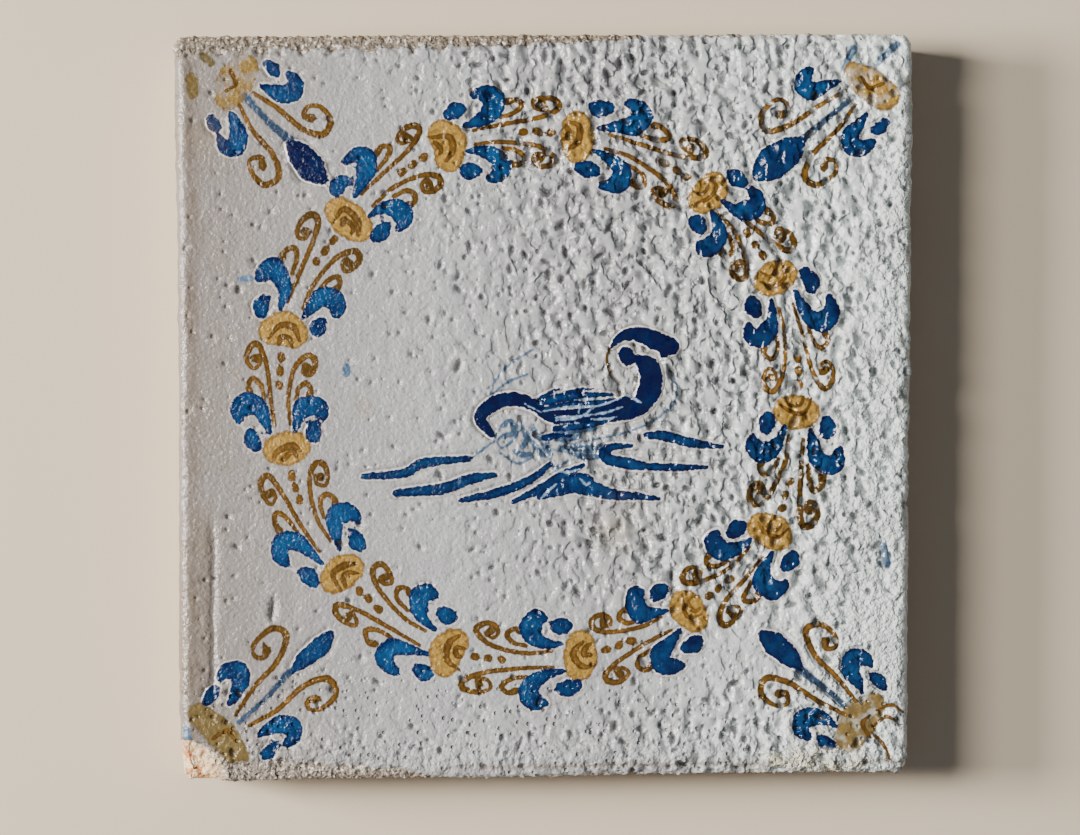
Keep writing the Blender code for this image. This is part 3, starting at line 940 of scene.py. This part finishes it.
places = places + normals * relief[:, None]
places[:, :2] -= tile_middle
print("lowest and highest relief:", relief.min().round(2), relief.max().round(2))

# %% [markdown]
# ## One closed mesh
#
# Delaunay's method joins the points of the flat sheet into well-shaped triangles. The sheet is wrapped, and
# its rim is closed by one flat face, the tile's back. The sheet's own places are the mesh's UV map, with
# the sides pressed narrow and the back laid small in a corner, so a texture baked from it has its detail on
# the face.

# %% Triangulate and build
UV_SIDE_SQUEEZE = 0.4
UV_BACK_SCALE = 0.24
UV_MARGIN = 1.0


def outer_loop(triangles):
    """The corners round the outside of a sheet of triangles, in order."""
    edges = {edge for a, b, c in triangles for edge in ((a, b), (b, c), (c, a))}
    onward = {a: b for a, b in edges if (b, a) not in edges}
    loop = [min(onward)]
    while onward[loop[-1]] != loop[0]:
        loop.append(onward[loop[-1]])
    return loop


def unwrapped(triangles, loop):
    """UV places of every face corner: the sheet with its sides squeezed, and the back small beside it."""
    core = np.clip(points, -CORE, CORE)
    past = np.maximum(past_core, 1e-9)
    squeezed = np.minimum(past, SIDE_START) + UV_SIDE_SQUEEZE * np.maximum(past - SIDE_START, 0)
    sheet = core + (points - core) * (squeezed / past)[:, None]
    half = CORE + SIDE_START + UV_SIDE_SQUEEZE * (SHEET_END - SIDE_START)
    back = places[loop, :2] * UV_BACK_SCALE + half + UV_MARGIN + UV_BACK_SCALE * SIDE / 2
    whole = 2 * half + 3 * UV_MARGIN + UV_BACK_SCALE * SIDE
    corners = np.vstack([sheet[np.array(triangles).ravel()], back])
    return (corners + half + UV_MARGIN / 2) / whole


def build_tile_mesh():
    """The wrapped triangles and the flat back, with the UV map. The glaze and the sides are shaded smooth."""
    flat = [Vector(point) for point in points.tolist()]
    triangles = geometry.delaunay_2d_cdt(flat, [], [], 0, 1e-6)[2]
    loop = outer_loop(triangles)[::-1]
    mesh = bpy.data.meshes.new("painted_tile_glazed")
    mesh.from_pydata(places * MM, [], [*triangles, loop])
    uv_map = mesh.uv_layers.new(name="OFBake")
    uv_map.data.foreach_set("uv", unwrapped(triangles, loop).ravel())
    mesh.shade_smooth()
    smooth = [bool(bare[list(face)].max() >= 0.05 or past_core[face[0]] >= SIDE_START) for face in triangles]
    mesh.polygons.foreach_set("use_smooth", smooth + [False])
    mesh.update()
    return mesh


mesh = build_tile_mesh()
print("faces:", len(mesh.polygons), "of at most 200000")

# %% [markdown]
# Besides the paints' distances and loads, each point stores how far it lies in the glaze, down a pit and
# past the edge, how pitted, dented and crusted it is, where the glaze is sandy or stained, and a darker band:
# painted shade down the left side, and browned beside the groove and along the foot crack.

# %% Store what each point is
STAINS = [((13.8, -23.2), 4.0, 0.35), ((-33.8, 0.3), 1.8, 0.3), ((-58.3, 6.6), 0.6, 0.6),
          ((-64.5, 52.0), 3.0, 0.2)]
# Painted shade: a darker band just inside the left edge, where the bead of glaze slopes away from the light.
painted_shade_down_the_left = bell(s + SIDE / 2 - 2.9 - 0.8 * rough(points, 7.0, 2.2), 1.2)
painted_shade_down_the_left *= 0.6 + 0.8 * rough(points, 9.0, 1.1)
by_the_groove = 0.55 * along_groove * ease(0.4, -0.4, beside_groove)
unpainted = ease(-0.1, 0.6, np.minimum.reduce(list(paints.values())))
stored = {f"{name}_mm": values for name, values in paints.items()}
stored |= {f"{name}_load": values for name, values in loads.items()}
stored |= {
    "glaze_mm": bare, "pit_mm": -(pit_height + 0.45 * hollows), "past_mm": past_core, "pitted": rightness,
    "dented": rightness * calm, "foot": ease(46, 60, -t), "crusted": crusted,
    "band": np.clip(np.maximum.reduce([painted_shade_down_the_left, by_the_groove, 0.85 * foot_crack]), 0, 1),
    "sandy": np.maximum(ease(52, 64, s - 0.15 * t), 0.45 * ease(-58, -66, t)) * unpainted,
    "stained": sum(share * bell(np.linalg.norm(points - on_sheet([spot]), axis=1), size)
                   for spot, size, share in STAINS),
}
for name, values in stored.items():
    attribute = mesh.attributes.new(name, "FLOAT", "POINT")
    attribute.data.foreach_set("value", np.asarray(values, np.float32))
tile = bpy.data.objects.new("painted_tile_glazed", mesh)
bpy.context.scene.collection.objects.link(tile)
print("stored on each point:", ", ".join(stored))

# %% [markdown]
# ## The finish: tin glaze, oxide paints and bare earthenware
#
# Tin glaze is a lead glass clouded with tin oxide: a soft off-white, greyer to the left and whiter to the
# right, partly its own tone and partly a painted sheen, with a wet gloss, IOR 1.5 and roughness 0.1 to 0.2.
# It is duller where grit stuck to it, at the right and along the foot.
# The paints are metal oxides in water, brushed on the raw glaze and sunk into it: cobalt gives azure where
# thin and navy where thick, antimony with iron gives ochre, and thin cobalt gives grey blue. Their edges
# are soft over a fifth of a millimetre, and the colour is mottled because the powder lay unevenly.
# Earthenware is buff clay, fired soft: dry, roughness 0.9, pink and orange where freshly broken, the break's
# pale colour partly a painted highlight, and grey with dirt elsewhere, with grains of half a millimetre.
#
# Glaze, paint and clay are one fired skin, so they are one material. Colours are laid over one another in
# the order in which they came: glaze, then each paint, then stains and dirt, the dirt also painted shade in
# pits.

# %% Colours, from the glaze up
BARE_GLAZE = "#857C75"
# Painted sheen: the first two colours whiten the glaze to the right, partly its tone, partly lit pit walls.
UNDER_PAINT = [("inward", "#B2B5B9"), ("onward", "#E6F1F2"), ("cloudy", "#96929A"), ("speckled", "#857B70"),
               # Painted shade: the band darkens a strip down the left side; by the groove and the foot crack
               # it is browned.
               ("band", "#7C6F62"), ("pricked", "#4E4438"), ("trench shade line", "#857B70"),
               # Painted shade and highlight: a dark line beside heavy blue is trench shade, the white rim
               # partly a highlight.
               ("drawn off and highlight", "#F4F4F2")]
# Thin and thick colours of each paint, the share that is left in pits, and in millimetres how soft its edge
# is, how far that wavers and how wide the mottling is.
PAINTS = [
    {"paint": "pale", "in pits": 0.7, "soft": 0.25, "wobble": 0.2, "mottle": 1.2, "thin": "#8297AB",
     "coats": [("thick", "#4F6F92"), ("pale_load", "#2C3E56")]},
    {"paint": "wash", "in pits": 0.9, "soft": 0.2, "wobble": 0.25, "mottle": 0.7, "thin": "#AD8A42",
     "coats": [("thick", "#745624"), ("greened", "#61573A")]},
    {"paint": "ochre", "in pits": 0.4, "soft": 0.12, "wobble": 0.12, "mottle": 3.0, "thin": "#8C6629",
     "coats": [("thick", "#583C10"), ("ochre_load", "#4A340C")]},
    {"paint": "cobalt", "in pits": 0.95, "soft": 0.1, "wobble": 0.22, "mottle": 2.4, "thin": "#0C4E82",
     # Painted glint: the palest coat, dots in thin cobalt, is broken bubbles and small painted highlights.
     "coats": [("thick", "#011A4C"), ("navy", "#000437"), ("burst and glint", "#9DBCD6")]},
    {"paint": "scratch", "in pits": 1.0, "soft": 0.12, "wobble": 0.2, "mottle": 0.8, "thin": "#DCE4EA",
     "coats": [("thick", "#7E9DBB")]},
]
# Painted shade: the dirt colour also darkens the deep pits and hollows, where shade falls.
OVER_PAINT = [("stained", "#8A7442"), ("crusted", "#FBF8E2"), ("dirt", "#4E4438")]
FOOT_CLAY = "#9A9086"
# Painted highlight: the fresh colour lightens the broken corner, partly fresh clay and partly light on the
# break.
OVER_CLAY = [("up", "#857B6E"), ("down the side", "#C9A98A"), ("fresh", "#FFDDAA"), ("fired", "#C8743C"),
             ("dark speck", "#3A322A"), ("light speck", "#E6E0D6")]

# %% The material, and the one function that adds its nodes
FACTOR, LOW_VALUE, HIGH_VALUE, FIRST, SECOND, MIXED = 0, 2, 3, 6, 7, 2
material = bpy.data.materials.new("painted_tin_glaze_on_earthenware")
material.use_nodes = True
nodes, links = material.node_tree.nodes, material.node_tree.links
shader = nodes["Principled BSDF"]
shader.inputs["IOR"].default_value = 1.5


def add(kind, inputs, output=0, **settings):
    """Adds a node with its settings, and gives one of its outputs. The inputs are values or outputs to link,
    by the socket's name or number, or as a list in the node's own order."""
    new = nodes.new("ShaderNode" + kind)
    for name, value in settings.items():
        setattr(new, name, value)
    for socket, value in inputs.items() if isinstance(inputs, dict) else enumerate(inputs):
        if isinstance(value, bpy.types.NodeSocket):
            links.new(value, new.inputs[socket])
        else:
            new.inputs[socket].default_value = value
    return new.outputs[output]


# %% [markdown]
# What a spot looks like follows from its measures. Some were stored on the mesh's points. Others are
# patterns: noises and cells, each with its size in millimetres. The powder of each paint is a rough noise
# of its own size.

# %% Stored measures and patterns
NOISES = {"clouds": (9.0, 4.0), "specks": (0.7, 3.0), "waves": (1 / 1.2, 3.0), "patches": (2.6, 3.0),
          "grains": (0.5, 4.0), "warmth": (2.4, 2.0), "flints": (0.8, 3.0), "fine": (0.8, 4.0),
          "sand": (1.0, 3.0)}
POWDER = {"Detail": 5.0, "Roughness": 0.65}
CELLS = {"pricks": 1.7, "bubbles": 2.2}
DENT_SIZE, DENT_SHAPE = 2.2, (1.0, 0.75, 1.0)
BROKEN_CORNER = (-70.0, -70.0, 12.0)

place = add("VectorMath", {0: add("TexCoord", {}, "Object"), "Scale": 1 / MM}, operation="SCALE")
known = {name: add("Attribute", {}, "Fac", attribute_name=name) for name in stored}
known |= {axis: add("SeparateXYZ", [place], axis) for axis in "XY"}
known["from corner"] = add("VectorMath", [place, BROKEN_CORNER], "Value", operation="DISTANCE")
for name, (size, detail) in NOISES.items():
    known[name] = add("TexNoise", {"Vector": place, "Scale": 1 / size, "Detail": detail}, "Fac")
for paint in PAINTS:
    powder = add("TexNoise", {"Vector": place, "Scale": 1 / paint["mottle"], **POWDER}, "Fac")
    known[paint["paint"] + " powder"] = powder
for name, size in CELLS.items():
    known[name] = add("TexVoronoi", {"Vector": place, "Scale": 1 / size}, "Distance")
stretched = add("VectorMath", [place, DENT_SHAPE], operation="MULTIPLY")
known["dents"] = add("TexNoise", {"Vector": stretched, "Scale": 1 / DENT_SIZE, "Detail": 1.5}, "Fac")

# %% [markdown]
# New measures are made from those in two ways. A ramp takes a measure between two values to between two
# others. A product multiplies two measures and adds a third; a held product stays between 0 and 1. Each
# line below has the new measure's name first. A name used twice is refined by its second line.

# %% Ramps and products
STEPS = {"ramp": ("MapRange", {}), "smooth ramp": ("MapRange", {"interpolation_type": "SMOOTHSTEP"}),
         "product": ("Math", {"operation": "MULTIPLY_ADD"}),
         "held product": ("Math", {"operation": "MULTIPLY_ADD", "use_clamp": True})}
MEASURES = [
    # The glaze is whiter to the right, partly its own tone and partly a painted sheen, clouded and faintly
    # specked.
    ("inward", "ramp", "X", -70.0, -22.0, 0.0, 1.0),
    ("onward", "ramp", "X", 16.0, 62.0, 0.0, 1.0),
    ("cloudy", "ramp", "clouds", 0.45, 0.8, 0.0, 0.4),
    ("speckled", "ramp", "specks", 0.6, 0.75, 0.0, 0.45),
    # Pin pricks are darker, most of all at the foot.
    ("pricked", "ramp", "pricks", 0.2, 0.1, 0.0, 0.45),
    ("more at the foot", "product", "foot", 0.5, 0.8),
    ("pricked", "product", "pricked", "more at the foot", 0.0),
    # Heavy blue drew the glaze off beside it: a white rim, partly a painted highlight, and a dark line of
    # painted shade for the trench.
    ("trench shade line", "ramp", "cobalt_mm", 0.75, 0.45, 0.0, 0.6),
    ("trench shade line", "product", "trench shade line", "cobalt_load", 0.0),
    ("rim", "ramp", "cobalt_mm", 0.36, 0.2, 0.0, 1.0),
    ("drawn off and highlight", "ramp", "cobalt_load", 0.0, 1.0, 0.05, 0.75),
    ("drawn off and highlight", "product", "rim", "drawn off and highlight", 0.0),
    # A full brush of cobalt is navy, and thin cobalt has pale dots, small broken bubbles and painted glints.
    ("navy", "ramp", "cobalt powder", 0.38, 0.62, 0.9, 1.0),
    ("navy", "product", "navy", "cobalt_load", 0.0),
    ("burst and glint", "ramp", "bubbles", 0.1, 0.05, 0.0, 0.75),
    ("thinness", "product", "cobalt_load", -1.0, 1.0),
    ("burst and glint", "product", "burst and glint", "thinness", 0.0),
    # A heavy wash is greenish, and a middling one is rubbed off in patches.
    ("greened", "product", "wash_load", 0.8, 0.0),
    ("middling", "product", "wash_load", -1.0, 1.0),
    ("middling", "product", "middling", "wash_load", 0.0),
    ("rubbed", "ramp", "patches", 0.48, 0.6, 0.0, 3.0),
    ("rubbed", "held product", "rubbed", "middling", 0.0),
    ("left over", "product", "rubbed", -1.0, 1.0),
    # Deep pits and hollows are darker, dirt and painted shade, less so where the glaze is full of them.
    ("dirt", "ramp", "pit_mm", 0.28, 0.55, 0.0, 0.6),
    ("washed", "product", "pitted", -0.45, 1.0),
    ("dirt", "product", "dirt", "washed", 0.0),
    # Clay is greyer at the top edge, buff down the sides, and pink with orange patches in the broken corner,
    # where its pale colour is partly a painted highlight.
    ("glazed", "ramp", "glaze_mm", -0.1, 0.15, 0.0, 1.0),
    ("up", "ramp", "Y", -10.0, 10.0, 0.0, 1.0),
    ("down the side", "ramp", "past_mm", 2.0, 6.0, 0.0, 1.0),
    ("fresh", "ramp", "from corner", 6.0, 11.0, 1.0, 0.0),
    ("fired", "ramp", "warmth", 0.5, 0.58, 0.0, 0.8),
    ("fired", "product", "fired", "fresh", 0.0),
    ("dark speck", "ramp", "grains", 0.5, 0.62, 0.0, 1.0),
    ("old dirt", "product", "fresh", -0.6, 0.75),
    ("dark speck", "product", "dark speck", "old dirt", 0.0),
    ("light speck", "ramp", "flints", 0.57, 0.63, 0.0, 0.85),
    # The gloss varies with the clouds.
    ("gloss", "ramp", "clouds", 0.3, 0.7, 0.09, 0.18),
    # Bumps in millimetres.
    ("fine depth", "ramp", "pitted", 0.2, 0.6, 0.27, 0.08),
    ("dent", "smooth ramp", "dents", 0.45, 0.64, 0.0, -0.58),
    ("prick", "smooth ramp", "pricks", 0.26, 0.1, 0.0, -0.4),
    ("sanded", "product", "sandy", 1.3, 0.0),
    ("crumbly", "product", "crusted", 2.6, 0.0),
]
for name, step, *inputs in MEASURES:
    kind, settings = STEPS[step]
    known[name] = add(kind, [known.get(value, value) for value in inputs], **settings)
print("measures at each spot:", len(known))

# %% Glaze, paints, stains and dirt
skin = colour(BARE_GLAZE)
for mask, tint in UNDER_PAINT:
    skin = add("Mix", {FACTOR: known[mask], FIRST: skin, SECOND: colour(tint)}, MIXED, data_type="RGBA")
for paint in PAINTS:
    name, soft, wobble = paint["paint"], paint["soft"], paint["wobble"]
    wavering = add("MapRange", [known["waves"], 0.25, 0.75, -wobble, wobble])
    gap = add("Math", [known[name + "_mm"], wavering], operation="ADD")
    covered = add("MapRange", [gap, soft, -soft, 0.0, 1.0], interpolation_type="SMOOTHSTEP")
    in_pits = add("MapRange", [known["pit_mm"], 0.25, 0.5, 1.0, paint["in pits"]])
    covered = add("Math", [covered, in_pits], operation="MULTIPLY")
    if name == "wash":
        covered = add("Math", [covered, known["left over"]], operation="MULTIPLY")
    pooled = add("MapRange", [gap, -0.7, 0.0, 0.0, 0.3])
    uneven = add("Math", [known[name + " powder"], pooled], operation="ADD")
    known["thick"] = add("MapRange", [uneven, 0.42, 0.72, 0.0, 1.0])
    coat = colour(paint["thin"])
    for mask, tint in paint["coats"]:
        coat = add("Mix", {FACTOR: known[mask], FIRST: coat, SECOND: colour(tint)}, MIXED, data_type="RGBA")
    skin = add("Mix", {FACTOR: covered, FIRST: skin, SECOND: coat}, MIXED, data_type="RGBA")
for mask, tint in OVER_PAINT:
    skin = add("Mix", {FACTOR: known[mask], FIRST: skin, SECOND: colour(tint)}, MIXED, data_type="RGBA")

# %% Bare clay, and where it shows
clay = colour(FOOT_CLAY)
for mask, tint in OVER_CLAY:
    clay = add("Mix", {FACTOR: known[mask], FIRST: clay, SECOND: colour(tint)}, MIXED, data_type="RGBA")
surface = add("Mix", {FACTOR: known["glazed"], FIRST: clay, SECOND: skin}, MIXED, data_type="RGBA")
links.new(surface, shader.inputs["Base Color"])

# %% Gloss, and bumps too small for the mesh
SANDY_ROUGHNESS, CLAY_ROUGHNESS, DENTED_DULLNESS = 0.5, 0.9, 0.1
CLAY_BUMP = 0.4
dull = add("Mix", {FACTOR: known["sandy"], LOW_VALUE: known["gloss"], HIGH_VALUE: SANDY_ROUGHNESS})
dull = add("Math", [known["dented"], DENTED_DULLNESS, dull], operation="MULTIPLY_ADD")
dull = add("Mix", {FACTOR: known["glazed"], LOW_VALUE: CLAY_ROUGHNESS, HIGH_VALUE: dull})
links.new(dull, shader.inputs["Roughness"])

depth = add("Mix", {FACTOR: known["glazed"], LOW_VALUE: CLAY_BUMP, HIGH_VALUE: known["fine depth"]})
height = add("Math", [known["fine"], depth], operation="MULTIPLY")
for pattern, share in (("sand", "sanded"), ("dent", "dented"), ("prick", "foot"), ("fine", "crumbly")):
    height = add("Math", [known[pattern], known[share], height], operation="MULTIPLY_ADD")
links.new(add("Bump", {"Height": height, "Distance": MM}), shader.inputs["Normal"])
tile.data.materials.append(material)
print("material slots:", [slot.name for slot in tile.material_slots])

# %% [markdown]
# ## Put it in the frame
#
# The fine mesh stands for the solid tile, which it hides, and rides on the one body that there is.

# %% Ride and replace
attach(tile, "root")
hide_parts("painted_tile")
